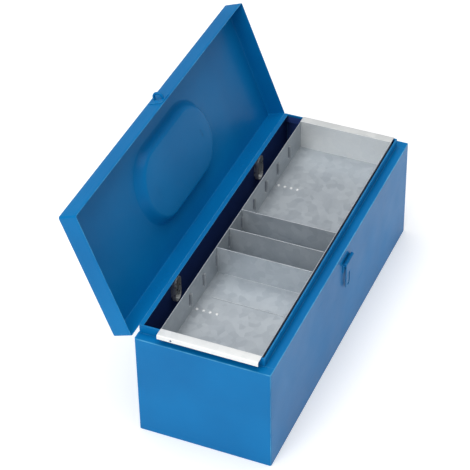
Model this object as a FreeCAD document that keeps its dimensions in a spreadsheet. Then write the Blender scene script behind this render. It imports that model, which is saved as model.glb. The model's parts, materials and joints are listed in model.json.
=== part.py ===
"""Steel toolbox with a hinged lid, a lift-out divided tray, a padlock hasp and a folding carry handle.

Frame: +X along the box, the hasp wall faces -Y, +Z up, origin in the middle of the bottom face.
The rest pose has the lid open against its stop, the tray hung in the box and the hasp hanging down.
"""
import FreeCAD, Part
import math
import os
import Sketcher

DRIVING_SIZES = {
    # box
    "body_length": 560.0,
    "body_width": 200.0,
    "shoulder_height": 170.0,
    "body_sheet": 1.0,
    "shoulder_depth": 14.0,
    "rim_height": 14.0,
    "hem_drop": 9.0,
    "rear_joggle": 2.0,
    "joggle_drop": 0.8,
    "joggle_rise": 1.2,
    "rear_return": 5.0,
    "corner_radius": 2.5,
    # lid
    "lid_height": 30.0,
    "lid_sheet": 1.0,
    "lid_gap": 0.4,
    "lid_open_angle": 110.7,
    "recess_length": 228.0,
    "recess_width": 128.0,
    "recess_depth": 13.0,
    "recess_slope": 20.0,
    # lid hinges
    "hinge_spacing": 304.0,
    "hinge_offset": 2.4,
    "hinge_rise": 0.3,
    "hinge_pin_radius": 1.1,
    "hinge_pin_head": 1.2,
    "knuckle_radius": 2.1,
    "hinge_leaf_length": 54.0,
    "hinge_leaf_height": 20.0,
    "hinge_strap_width": 20.0,
    "hinge_strap_height": 42.0,
    "hinge_strap_rim_gap": 4.0,
    "hinge_strap_rim": 4.0,
    "leaf_sheet": 1.2,
    "running_clearance": 0.06,
    "side_clearance": 0.3,
    # rivets
    "rivet_radius": 2.0,
    "rivet_head_radius": 3.6,
    "rivet_head_height": 1.5,
    "low_head_height": 0.6,
    # padlock hasp and staple
    "hasp_offset": 8.0,
    "hasp_drop": 20.0,
    "hasp_standoff": 4.0,
    "hasp_width": 20.0,
    "hasp_reach": 50.0,
    "hasp_sheet": 1.5,
    "hasp_slot_width": 8.0,
    "hasp_slot_length": 22.0,
    "hasp_base_width": 30.0,
    "hasp_base_height": 15.0,
    "staple_wire_radius": 2.0,
    "staple_span": 14.0,
    "staple_reach": 11.0,
    "staple_plate_width": 25.0,
    "staple_plate_height": 22.0,
    # carry handle
    "handle_span": 120.0,
    "handle_reach": 36.0,
    "handle_wire_radius": 4.0,
    "handle_bend_radius": 9.0,
    "handle_height": 6.0,
    "handle_ear_sheet": 2.0,
    "handle_foot_length": 18.0,
    "handle_foot_width": 16.0,
    # tray
    "tray_end_slack": 12.0,
    "tray_rear_gap": 25.0,
    "tray_depth": 48.0,
    "tray_sheet": 0.8,
    "tray_front_gap": 3.0,
    "tray_shift": -5.0,
    "tray_seat_gap": 0.2,
    "tray_rim_width": 13.8,
    "tray_rim_drop": 7.0,
    "tray_rim_hole_radius": 1.5,
    "slot_count": 9,
    "slot_pitch": 46.5,
    "first_slot": 95.3,
    "slot_height": 21.0,
    "slot_rise": 13.0,
    "slot_width": 2.5,
    "lug_depth": 3.0,
    "pip_radius": 2.2,
    "pip_height": 0.9,
    "pip_pitch": 10.2,
    "pip_from_end": 104.5,
    "pip_inset": 5.0,
    # dividers
    "divider_sheet": 0.8,
    "divider_clearance": 0.2,
    "divider_foot_long": 54.0,
    "divider_foot_short": 40.0,
    "divider_foot_inset": 12.0,
}

doc = FreeCAD.newDocument("toolbox")
sizes = doc.addObject("Spreadsheet::Sheet", "Sizes")
for row, (alias, number) in enumerate(DRIVING_SIZES.items(), start=1):
    sizes.set(f"A{row}", alias)
    sizes.set(f"B{row}", str(number))
    sizes.setAlias(f"B{row}", alias)
doc.recompute()


class Size:
    """A length with the spreadsheet expression that it comes from."""

    def __init__(self, value, text):
        self.value = value
        self.text = text

    @staticmethod
    def of(other):
        return other if isinstance(other, Size) else Size(float(other), f"({float(other)})")

    def __add__(self, other):
        other = Size.of(other)
        return Size(self.value + other.value, f"({self.text} + {other.text})")

    def __sub__(self, other):
        other = Size.of(other)
        return Size(self.value - other.value, f"({self.text} - {other.text})")

    def __mul__(self, other):
        other = Size.of(other)
        return Size(self.value * other.value, f"({self.text} * {other.text})")

    def __truediv__(self, other):
        other = Size.of(other)
        return Size(self.value / other.value, f"({self.text} / {other.text})")

    def __neg__(self):
        return Size(-self.value, f"(0 - {self.text})")

    __radd__ = __add__

    def __rsub__(self, other):
        return Size.of(other) - self

    __rmul__ = __mul__


def size(alias):
    return Size(float(sizes.get(alias)), f"Sizes.{alias}")


ZERO = Size.of(0)
QUARTER = math.pi / 2

# ---------------------------------------------------------------- derived places
sheet = size("body_sheet")
half_length = size("body_length") / 2
half_width = size("body_width") / 2
shoulder_top = size("shoulder_height")
rim_top = shoulder_top + size("rim_height")
rim_x = half_length - size("shoulder_depth")
rim_front = -half_width + size("shoulder_depth")
rim_back = half_width - size("rear_joggle")
hem_x = rim_x - sheet * 2
hem_front = rim_front + sheet * 2
hem_back = rim_back - sheet - size("rear_return")
joggle_bottom = shoulder_top - size("joggle_drop")
joggle_top = joggle_bottom + size("joggle_rise")
corner = size("corner_radius")
wrap_end = half_length - corner - sheet / 2

lid_sheet = size("lid_sheet")
lid_bottom = shoulder_top + size("lid_gap")
lid_top = shoulder_top + size("lid_height")
hinge_y = half_width + size("hinge_offset")
hinge_z = shoulder_top + size("hinge_rise")
hinge_x = size("hinge_spacing") / 2
recess_floor = lid_top - size("recess_depth")

hasp_x = size("hasp_offset")
hasp_y = -half_width - size("hasp_standoff")
hasp_z = shoulder_top - size("hasp_drop")
hasp_knuckle = size("hasp_standoff") - size("hasp_sheet") + size("side_clearance")
slot_middle = size("hasp_reach") - size("hasp_slot_length") / 2 - size("hasp_slot_width") * 5 / 8
staple_z = hasp_z + slot_middle

handle_z = recess_floor + size("handle_height")
handle_x = size("handle_span") / 2

leaf_sheet = size("leaf_sheet")
arm_bottom = hinge_z - size("knuckle_radius")
centre_knuckle = size("hinge_strap_width") / 2 - size("side_clearance")
strap_wall = half_width - sheet
strap_seat = rim_back - sheet
strap_face = strap_seat - leaf_sheet
strap_top = rim_top - size("hinge_strap_rim_gap")
strap_low = strap_top - size("hinge_strap_height")
staple_face = -half_width - leaf_sheet
hasp_face = -half_width - size("hasp_sheet")

strap_rivet_places = []
leaf_rivet_places = []
handle_rivet_places = []
for side in (-1, 1):
    for share in (0.24, 0.54):
        height = strap_low + size("hinge_strap_height") * share
        strap_rivet_places.append((hinge_x * side, strap_face, height))
    for step in (-1, 0, 1):
        x = hinge_x * side + size("hinge_leaf_length") / 3 * step
        leaf_rivet_places.append((x, half_width - lid_sheet, hinge_z + size("hinge_leaf_height") * 0.6))
    middle = handle_x + size("handle_wire_radius") + size("handle_foot_length") * 0.62
    for across in (-1, 1):
        y = size("handle_foot_width") / 4 * across
        handle_rivet_places.append((middle * side, y, recess_floor + size("handle_ear_sheet")))
hasp_rivet_z = hasp_z - size("hasp_base_height") * 0.62
hasp_rivet_places = [
    (hasp_x + size("hasp_base_width") / 3.5 * side, hasp_face, hasp_rivet_z) for side in (-1, 1)
]
staple_rivet_places = [
    (hasp_x + size("staple_plate_width") / 3.2 * side, staple_face, staple_z) for side in (-1, 1)
]

tray_sheet = size("tray_sheet")
tray_front = hem_front + size("tray_front_gap")
tray_back = hem_back - size("tray_rear_gap")
tray_top = rim_top + size("tray_seat_gap")
tray_bottom = tray_top - size("tray_depth")
tray_length = hem_x * 2 - size("tray_end_slack")
tray_near = size("tray_shift") - tray_length / 2
tray_floor = tray_bottom + tray_sheet


# ---------------------------------------------------------------- helpers
def bind(obj, prop, value):
    obj.setExpression(prop, Size.of(value).text)


def place(obj, x, y, z, rotation=None):
    if rotation is not None:
        obj.Placement = FreeCAD.Placement(FreeCAD.Vector(0, 0, 0), rotation)
    for axis, value in zip("xyz", (x, y, z)):
        bind(obj, f"Placement.Base.{axis}", value)


def box(name, x_range, y_range, z_range):
    """A block between two places along each axis."""
    block = doc.addObject("Part::Box", name)
    for prop, (low, high) in zip(("Length", "Width", "Height"), (x_range, y_range, z_range)):
        bind(block, prop, Size.of(high) - low)
    place(block, x_range[0], y_range[0], z_range[0])
    return block


def rod(name, radius, length, x, y, z, axis):
    """A round bar that starts at a point and runs along an axis."""
    bar = doc.addObject("Part::Cylinder", name)
    bind(bar, "Radius", radius)
    bind(bar, "Height", length)
    turn = FreeCAD.Rotation(FreeCAD.Vector(0, 0, 1), FreeCAD.Vector(*axis))
    place(bar, x, y, z, turn)
    return bar


def rod_along_x(name, radius, x_range, y, z):
    """A round bar between two places along X."""
    low, high = x_range
    return rod(name, radius, Size.of(high) - low, low, y, z, (1, 0, 0))


def fuse(name, shapes):
    joined = doc.addObject("Part::MultiFuse", name)
    joined.Shapes = shapes
    joined.Refine = True
    return joined


def cut(name, base, tools):
    if len(tools) == 1:
        tool = tools[0]
    else:
        tool = doc.addObject("Part::MultiFuse", f"{name}_tools")
        tool.Shapes = tools
    result = doc.addObject("Part::Cut", name)
    result.Base = base
    result.Tool = tool
    result.Refine = True
    return result


def fillet(name, base, radius, picks):
    """Rounds the edges of base that a test on the edge accepts."""
    doc.recompute()
    rounded = doc.addObject("Part::Fillet", name)
    rounded.Base = base
    chosen = [n for n, edge in enumerate(base.Shape.Edges, start=1) if picks(edge)]
    rounded.Edges = [(n, radius.value, radius.value) for n in chosen]
    return rounded


def edge_at(x=None, y=None, z=None, tolerance=0.01):
    """A test for straight edges whose both ends lie at the given places."""

    def test(edge):
        wanted = [(axis, value) for axis, value in enumerate((x, y, z)) if value is not None]
        ends = [vertex.Point for vertex in edge.Vertexes]
        return len(ends) == 2 and all(
            abs(end[axis] - value) < tolerance for end in ends for axis, value in wanted
        )

    return test


def new_body(name):
    return doc.addObject("PartDesign::Body", name)


def origin_plane(body, role):
    return next(f for f in body.Origin.OriginFeatures if f.Role == role)


def sketch_on(body, name, role, offset=ZERO):
    sketch = body.newObject("Sketcher::SketchObject", name)
    sketch.AttachmentSupport = (origin_plane(body, role), [""])
    sketch.MapMode = "FlatFace"
    bind(sketch, "AttachmentOffset.Base.z", offset)
    return sketch


def fix_point(sketch, geometry, end, u, v):
    """Ties one point of a sketch to places worked out from the sheet."""
    for kind, value, label in (("DistanceX", u, "u"), ("DistanceY", v, "v")):
        index = sketch.addConstraint(
            Sketcher.Constraint(kind, -1, 1, geometry, end, Size.of(value).value)
        )
        bind(sketch, f"Constraints[{index}]", value)


def outline(sketch, points):
    """A closed outline of straight lines through the given places."""
    points = [(Size.of(u), Size.of(v)) for u, v in points]
    flat = [FreeCAD.Vector(u.value, v.value, 0) for u, v in points]
    first = sketch.GeometryCount
    count = len(flat)
    for n in range(count):
        sketch.addGeometry(Part.LineSegment(flat[n], flat[(n + 1) % count]), False)
    for n in range(count):
        following = first + (n + 1) % count
        sketch.addConstraint(Sketcher.Constraint("Coincident", first + n, 2, following, 1))
    for n, (u, v) in enumerate(points):
        fix_point(sketch, first + n, 1, u, v)


def circle(sketch, u, v, radius):
    centre = FreeCAD.Vector(Size.of(u).value, Size.of(v).value, 0)
    index = sketch.addGeometry(Part.Circle(centre, FreeCAD.Vector(0, 0, 1), radius.value), False)
    fix_point(sketch, index, 3, u, v)
    constraint = sketch.addConstraint(Sketcher.Constraint("Radius", index, radius.value))
    bind(sketch, f"Constraints[{constraint}]", radius)


def stadium(sketch, u, v, length, width):
    """A slot shape with its long side along the sketch's first axis."""
    radius = width / 2
    reach = length / 2 - radius
    along = FreeCAD.Vector(reach.value, 0, 0)
    middle = FreeCAD.Vector(Size.of(u).value, Size.of(v).value, 0)
    up = FreeCAD.Vector(0, 0, 1)
    right = Part.ArcOfCircle(Part.Circle(middle + along, up, radius.value), -QUARTER, QUARTER)
    left = Part.ArcOfCircle(Part.Circle(middle - along, up, radius.value), QUARTER, 3 * QUARTER)
    side = FreeCAD.Vector(0, radius.value, 0)
    a = sketch.addGeometry(right, False)
    b = sketch.addGeometry(left, False)
    top = sketch.addGeometry(Part.LineSegment(middle + along + side, middle - along + side), False)
    low = sketch.addGeometry(Part.LineSegment(middle - along - side, middle + along - side), False)
    for first, first_end, second, second_end in (
        (a, 2, top, 1),
        (top, 2, b, 1),
        (b, 2, low, 1),
        (low, 2, a, 1),
    ):
        sketch.addConstraint(Sketcher.Constraint("Tangent", first, first_end, second, second_end))
    fix_point(sketch, a, 3, Size.of(u) + reach, v)
    fix_point(sketch, b, 3, Size.of(u) - reach, v)
    constraint = sketch.addConstraint(Sketcher.Constraint("Radius", a, radius.value))
    bind(sketch, f"Constraints[{constraint}]", radius)


def pad(body, name, sketch, length, both_ways=False, backwards=False):
    feature = body.newObject("PartDesign::Pad", name)
    feature.Profile = sketch
    bind(feature, "Length", length)
    feature.Midplane = both_ways
    feature.Reversed = backwards
    body.Tip = feature
    doc.recompute()
    return feature


def drill(body, name, role, offset, places):
    """Rivet holes through a sheet whose middle lies at an offset along a plane's normal."""
    sketch = sketch_on(body, f"{name}_plan", role, offset=offset)
    for u, v in places:
        circle(sketch, u, v, size("rivet_radius"))
    pocket(body, name, sketch, sheet * 3, both_ways=True)


def rivet_holes(label, places, axis, reach):
    """Cutting rods at the rivets' places, for pieces made of joined blocks."""
    rods = []
    for n, middle in enumerate(places):
        start = [Size.of(value) - reach * step for value, step in zip(middle, axis)]
        rods.append(rod(f"{label}_hole{n}", size("rivet_radius"), reach * 2, *start, axis))
    return rods


def pocket(body, name, sketch, length, both_ways=False, backwards=False):
    """Cuts a sketch out of the body and makes sure that something was cut."""
    before = body.Shape.Volume
    feature = body.newObject("PartDesign::Pocket", name)
    feature.Profile = sketch
    bind(feature, "Length", length)
    feature.Midplane = both_ways
    feature.Reversed = backwards
    body.Tip = feature
    doc.recompute()
    if not body.Shape.Volume < before - 1e-3:
        raise RuntimeError(f"{name} cuts nothing")
    return feature


NODES = []


def node(obj, label, placement=None):
    """Names a finished sub-part; placement moves it with the lid or the handle."""
    obj.Label = label
    if placement is not None:
        obj.Placement = FreeCAD.Placement()
        obj.setExpression("Placement", placement)
    NODES.append(obj)
    return obj


LID_OPEN = (
    "placement(vector(0; 0; 0); rotation(vector(1; 0; 0); -Sizes.lid_open_angle); "
    f"vector(0; {hinge_y.text}; {hinge_z.text}))"
)


# ---------------------------------------------------------------- box
def build_wrap():
    """Front wall, floor and rear wall, folded from one sheet, with a hemmed rim."""
    body = new_body("wrap")
    section = sketch_on(body, "wrap_section", "YZ_Plane")
    outline(
        section,
        [
            (-half_width, ZERO),
            (-half_width, shoulder_top),
            (rim_front, shoulder_top),
            (rim_front, rim_top),
            (hem_front, rim_top),
            (hem_front, rim_top - size("hem_drop")),
            (rim_front + sheet, rim_top - size("hem_drop")),
            (rim_front + sheet, shoulder_top - sheet),
            (-half_width + sheet, shoulder_top - sheet),
            (-half_width + sheet, sheet),
            (half_width - sheet, sheet),
            (half_width - sheet, joggle_bottom),
            (rim_back - sheet, joggle_top),
            (rim_back - sheet, rim_top - sheet),
            (hem_back, rim_top - sheet),
            (hem_back, rim_top),
            (rim_back, rim_top),
            (rim_back, joggle_top),
            (half_width, joggle_bottom),
            (half_width, ZERO),
        ],
    )
    pad(body, "wrap_pad", section, wrap_end * 2, both_ways=True)
    corners = sketch_on(body, "wrap_corner_cuts", "XZ_Plane")
    for side in (-1, 1):
        inner = (rim_x - sheet) * side
        outer = half_length * side
        low = shoulder_top - sheet
        outline(corners, [(inner, low), (outer, low), (outer, rim_top + 1), (inner, rim_top + 1)])
    pocket(body, "wrap_corners", corners, half_width * 4, both_ways=True)
    slots = sketch_on(body, "strap_slots", "XY_Plane", offset=arm_bottom - size("side_clearance"))
    for side in (-1, 1):
        reach = size("hinge_strap_width") / 2 + size("side_clearance")
        low = rim_back - sheet * 2
        x0 = hinge_x * side - reach
        x1 = hinge_x * side + reach
        outline(slots, [(x0, low), (x1, low), (x1, half_width + 1), (x0, half_width + 1)])
    height = leaf_sheet + size("side_clearance") * 2
    pocket(body, "strap_slot_cuts", slots, height, backwards=True)
    middle = half_width - sheet / 2
    drill(body, "strap_holes", "XZ_Plane", -middle, [(x, z) for x, y, z in strap_rivet_places])
    drill(body, "hasp_holes", "XZ_Plane", middle, [(x, z) for x, y, z in hasp_rivet_places])
    return node(body, "body_wrap")


def build_end_panel(label, side):
    """End wall with its shoulder, rim and hem, welded to the wrap."""

    def span(low, high):
        return (low * side, high * side) if side > 0 else (high * side, low * side)

    plate = box(
        f"{label}_plate",
        span(wrap_end, half_length),
        (-half_width, half_width),
        (ZERO, shoulder_top),
    )
    rounded = fillet(f"{label}_round", plate, corner, lambda e: upright_corner(e, side))
    hollow = box(
        f"{label}_hollow",
        span(wrap_end - 1, half_length - sheet),
        (-half_width + sheet, half_width - sheet),
        (Size.of(-1), shoulder_top - sheet),
    )
    wall = cut(f"{label}_wall", rounded, [hollow])
    shoulder = box(
        f"{label}_shoulder",
        span(rim_x - sheet, half_length - corner),
        (-half_width, half_width),
        (shoulder_top - sheet, shoulder_top),
    )
    rim = box(
        f"{label}_rim",
        span(rim_x - sheet, rim_x),
        (rim_front, rim_back),
        (shoulder_top - sheet, rim_top),
    )
    hem = box(
        f"{label}_hem",
        span(hem_x, rim_x - sheet),
        (hem_front, hem_back),
        (rim_top - size("hem_drop"), rim_top),
    )
    return node(fuse(f"{label}_all", [wall, shoulder, rim, hem]), label)


def upright_corner(edge, side):
    ends = [vertex.Point for vertex in edge.Vertexes]
    return len(ends) == 2 and all(
        abs(end.x - half_length.value * side) < 0.01 for end in ends
    ) and abs(ends[0].z - ends[1].z) > 1


# ---------------------------------------------------------------- rivets
def rivet(name, x, y, z, axis, grip, height):
    """A round-head rivet: the head stands along axis, the shank goes back through grip."""
    radius = size("rivet_head_radius")
    ball_radius = Size(
        (radius.value**2 + height.value**2) / (2 * height.value),
        f"(({radius.text} ^ 2 + {height.text} ^ 2) / (2 * {height.text}))",
    )
    ball = doc.addObject("Part::Sphere", f"{name}_ball")
    bind(ball, "Radius", ball_radius)
    back = ball_radius - height
    place(ball, x - back * axis[0], y - back * axis[1], z - back * axis[2])
    keep = rod(f"{name}_keep", radius * 2, height, x, y, z, axis)
    head = doc.addObject("Part::Common", f"{name}_head")
    head.Base = ball
    head.Tool = keep
    start = [place_ - Size.of(grip) * step for place_, step in zip((x, y, z), axis)]
    shank = rod(f"{name}_shank", size("rivet_radius"), Size.of(grip) + height / 2, *start, axis)
    return fuse(name, [head, shank])


def rivet_group(label, places, axis, grip, placement=None, head="rivet_head_height"):
    """All the rivets of one joint, which are separate solids in one node."""
    height = size(head)
    rivets = [rivet(f"{label}_{n}", x, y, z, axis, grip, height) for n, (x, y, z) in enumerate(places)]
    group = doc.addObject("Part::Compound", f"{label}_group")
    group.Links = rivets
    return node(group, label, placement)


# ---------------------------------------------------------------- hinges
def build_hinge_strap(label, side):
    """Pressed strap inside the rear wall, with raised edges and an eye round the pin."""
    x = hinge_x * side
    half = size("hinge_strap_width") / 2
    raised = strap_face - size("hinge_strap_rim")
    plate = box(f"{label}_plate", (x - half, x + half), (raised, strap_seat), (strap_low, strap_top))
    rounded = fillet(f"{label}_round", plate, half - 0.5, straight_along_y)
    dish = box(
        f"{label}_dish",
        (x - half + leaf_sheet, x + half - leaf_sheet),
        (raised - 1, strap_face),
        (strap_low + leaf_sheet, strap_top - leaf_sheet),
    )
    dish_round = fillet(f"{label}_dish_round", dish, half - 0.5 - leaf_sheet, straight_along_y)
    cup = cut(f"{label}_cup", rounded, [dish_round])
    pad_low = strap_low + half
    packing = box(
        f"{label}_packing",
        (x - half, x + half),
        (strap_seat, strap_wall),
        (pad_low, arm_bottom + leaf_sheet),
    )
    arm = box(
        f"{label}_arm",
        (x - centre_knuckle, x + centre_knuckle),
        (strap_seat, hinge_y),
        (arm_bottom, arm_bottom + leaf_sheet),
    )
    ends = (x - centre_knuckle, x + centre_knuckle)
    eye = rod_along_x(f"{label}_eye", size("knuckle_radius"), ends, hinge_y, hinge_z)
    solid = fuse(f"{label}_solid", [cup, packing, arm, eye])
    past = (x - half - 1, x + half + 1)
    bore = rod_along_x(f"{label}_bore", size("hinge_pin_radius"), past, hinge_y, hinge_z)
    places = [p for p in strap_rivet_places if p[0].value * side > 0]
    holes = rivet_holes(label, places, (0, -1, 0), size("hinge_strap_rim") * 2)
    return node(cut(f"{label}_cut", solid, [bore, *holes]), label)


def straight_along_y(edge):
    ends = [vertex.Point for vertex in edge.Vertexes]
    return len(ends) == 2 and abs(ends[0].x - ends[1].x) < 0.01 and abs(ends[0].z - ends[1].z) < 0.01


def build_hinge_leaf(label, side):
    """Leaf riveted outside the lid's rear flange, with two eyes round the pin."""
    x = hinge_x * side
    half = size("hinge_leaf_length") / 2
    low = hinge_z + size("hinge_rise")
    plate = box(
        f"{label}_plate",
        (x - half, x + half),
        (half_width, half_width + leaf_sheet),
        (low, low + size("hinge_leaf_height")),
    )
    parts = [plate]
    inner = size("hinge_strap_width") / 2
    for n, ends in enumerate(((x - half, x - inner), (x + inner, x + half))):
        parts.append(rod_along_x(f"{label}_eye{n}", size("knuckle_radius"), ends, hinge_y, hinge_z))
    solid = fuse(f"{label}_solid", parts)
    bore_radius = size("hinge_pin_radius") + size("running_clearance")
    past = (x - half - 1, x + half + 1)
    bore = rod_along_x(f"{label}_bore", bore_radius, past, hinge_y, hinge_z)
    gap_radius = size("knuckle_radius") + size("side_clearance")
    gap = rod_along_x(f"{label}_gap", gap_radius, (x - inner, x + inner), hinge_y, hinge_z)
    places = [p for p in leaf_rivet_places if p[0].value * side > 0]
    holes = rivet_holes(label, places, (0, -1, 0), leaf_sheet * 3)
    return node(cut(f"{label}_cut", solid, [bore, gap, *holes]), label, LID_OPEN)


def build_hinge_pin(label, side):
    x = hinge_x * side
    half = size("hinge_leaf_length") / 2
    clear = size("side_clearance")
    head = size("hinge_pin_head")
    shaft_ends = (x - half - clear, x + half + head)
    shaft = rod_along_x(f"{label}_shaft", size("hinge_pin_radius"), shaft_ends, hinge_y, hinge_z)
    button_ends = (x - half - clear - head, x - half - clear)
    button = rod_along_x(f"{label}_button", size("knuckle_radius") - clear, button_ends, hinge_y, hinge_z)
    return node(fuse(f"{label}_all", [shaft, button]), label)


# ---------------------------------------------------------------- lid
def build_lid():
    """Shallow pan with a slanted-side recess pressed in for the carry handle."""
    body = new_body("lid")
    plan = sketch_on(body, "lid_plan", "XY_Plane", offset=lid_bottom)
    outline(
        plan,
        [
            (-half_length, -half_width),
            (half_length, -half_width),
            (half_length, half_width),
            (-half_length, half_width),
        ],
    )
    block = pad(body, "lid_block", plan, lid_top - lid_bottom)
    rounded = body.newObject("PartDesign::Fillet", "lid_round")
    high = [
        f"Edge{n}"
        for n, edge in enumerate(block.Shape.Edges, start=1)
        if max(vertex.Z for vertex in edge.Vertexes) > lid_top.value - 0.01
    ]
    rounded.Base = (block, high)
    bind(rounded, "Radius", corner)
    body.Tip = rounded
    doc.recompute()
    inside = sketch_on(body, "lid_inside", "XY_Plane", offset=lid_bottom)
    outline(
        inside,
        [
            (-half_length + lid_sheet, -half_width + lid_sheet),
            (half_length - lid_sheet, -half_width + lid_sheet),
            (half_length - lid_sheet, half_width - lid_sheet),
            (-half_length + lid_sheet, half_width - lid_sheet),
        ],
    )
    pocket(body, "lid_hollow", inside, lid_top - lid_bottom - lid_sheet, backwards=True)
    recess(body, "boss", "PartDesign::AdditiveLoft", lid_top - lid_sheet / 2, recess_floor - lid_sheet)
    recess(body, "recess", "PartDesign::SubtractiveLoft", lid_top, recess_floor)
    flange = half_width - lid_sheet / 2
    drill(body, "leaf_holes", "XZ_Plane", -flange, [(x, z) for x, y, z in leaf_rivet_places])
    drill(body, "staple_holes", "XZ_Plane", flange, [(x, z) for x, y, z in staple_rivet_places])
    middle = recess_floor - lid_sheet / 2
    drill(body, "handle_holes", "XY_Plane", middle, [(x, y) for x, y, z in handle_rivet_places])
    return node(body, "lid_shell", LID_OPEN)


def recess(body, name, kind, high, low):
    """A loft from the wide mouth of the handle recess to its narrower floor."""
    mouth = sketch_on(body, f"{name}_mouth", "XY_Plane", offset=high)
    stadium(mouth, ZERO, ZERO, size("recess_length"), size("recess_width"))
    floor = sketch_on(body, f"{name}_floor", "XY_Plane", offset=low)
    narrower = size("recess_slope") * 2
    stadium(floor, ZERO, ZERO, size("recess_length") - narrower, size("recess_width") - narrower)
    loft = body.newObject(kind, name)
    loft.Profile = mouth
    loft.Sections = [floor]
    loft.Ruled = True
    body.Tip = loft
    doc.recompute()


# ---------------------------------------------------------------- staple and hasp
def build_staple_plate():
    half = size("staple_plate_width") / 2
    tall = size("staple_plate_height") / 2
    plate = box(
        "staple_plate_blank",
        (hasp_x - half, hasp_x + half),
        (staple_face, -half_width),
        (staple_z - tall, staple_z + tall),
    )
    rounded = fillet("staple_plate_round", plate, corner, straight_along_y)
    holes = rivet_holes("staple_plate", staple_rivet_places, (0, -1, 0), leaf_sheet * 3)
    return node(cut("staple_plate_cut", rounded, holes), "lid_staple_plate", LID_OPEN)


def build_staple():
    """Wire loop that stands out through the hasp's slot and takes the padlock."""
    body = new_body("staple")
    radius = size("staple_wire_radius")
    bend = size("staple_span") / 2
    start = staple_face
    reach = staple_face - size("staple_reach") + radius
    path = sketch_on(body, "staple_path", "YZ_Plane", offset=hasp_x)
    u_path(path, start, reach, staple_z, bend)
    wire = sketch_on(body, "staple_wire", "XZ_Plane", offset=-start)
    circle(wire, hasp_x, staple_z - bend, radius)
    pipe(body, "staple_pipe", wire, path)
    return node(body, "lid_staple", LID_OPEN)


def sketch_line(sketch, start, end):
    line = Part.LineSegment(FreeCAD.Vector(*start, 0), FreeCAD.Vector(*end, 0))
    return sketch.addGeometry(line, False)


def sketch_arc(sketch, centre, radius, start, end):
    whole = Part.Circle(FreeCAD.Vector(*centre, 0), FreeCAD.Vector(0, 0, 1), radius)
    return sketch.addGeometry(Part.ArcOfCircle(whole, start, end), False)


def u_path(sketch, start, reach, middle, bend):
    """Out along -u, round a half circle about the middle height and back."""
    u0 = start.value
    u1 = reach.value + bend.value
    v0 = middle.value - bend.value
    v1 = middle.value + bend.value
    low = sketch_line(sketch, (u0, v0), (u1, v0))
    turn = sketch_arc(sketch, (u1, middle.value), bend.value, QUARTER, 3 * QUARTER)
    high = sketch_line(sketch, (u1, v1), (u0, v1))
    sketch.addConstraint(Sketcher.Constraint("Tangent", low, 2, turn, 2))
    sketch.addConstraint(Sketcher.Constraint("Tangent", turn, 1, high, 1))
    fix_point(sketch, low, 1, start, middle - bend)
    fix_point(sketch, high, 2, start, middle + bend)
    fix_point(sketch, turn, 3, reach + bend, middle)


def pipe(body, name, profile, path):
    feature = body.newObject("PartDesign::AdditivePipe", name)
    feature.Profile = profile
    feature.Spine = path
    body.Tip = feature
    doc.recompute()
    return feature


def build_hasp_base():
    half = size("hasp_base_width") / 2
    inner = size("hasp_width") / 4
    plate = box(
        "hasp_base_plate",
        (hasp_x - half, hasp_x + half),
        (hasp_face, -half_width),
        (hasp_z - size("hasp_base_height"), hasp_z),
    )
    parts = [plate]
    for n, ends in enumerate(((hasp_x - half, hasp_x - inner), (hasp_x + inner, hasp_x + half))):
        parts.append(rod_along_x(f"hasp_base_eye{n}", hasp_knuckle, ends, hasp_y, hasp_z))
    solid = fuse("hasp_base_solid", parts)
    past = (hasp_x - half - 1, hasp_x + half + 1)
    bore = rod_along_x("hasp_base_bore", size("hinge_pin_radius"), past, hasp_y, hasp_z)
    gap_radius = hasp_knuckle + size("side_clearance")
    gap = rod_along_x("hasp_base_gap", gap_radius, (hasp_x - inner, hasp_x + inner), hasp_y, hasp_z)
    holes = rivet_holes("hasp_base", hasp_rivet_places, (0, -1, 0), size("hasp_sheet") * 3)
    return node(cut("hasp_base_cut", solid, [bore, gap, *holes]), "hasp_base")


def build_hasp_pin():
    reach = size("hasp_base_width") / 2 + size("side_clearance")
    ends = (hasp_x - reach, hasp_x + reach)
    return node(rod_along_x("hasp_pin_rod", size("hinge_pin_radius"), ends, hasp_y, hasp_z), "hasp_pin")


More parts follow.
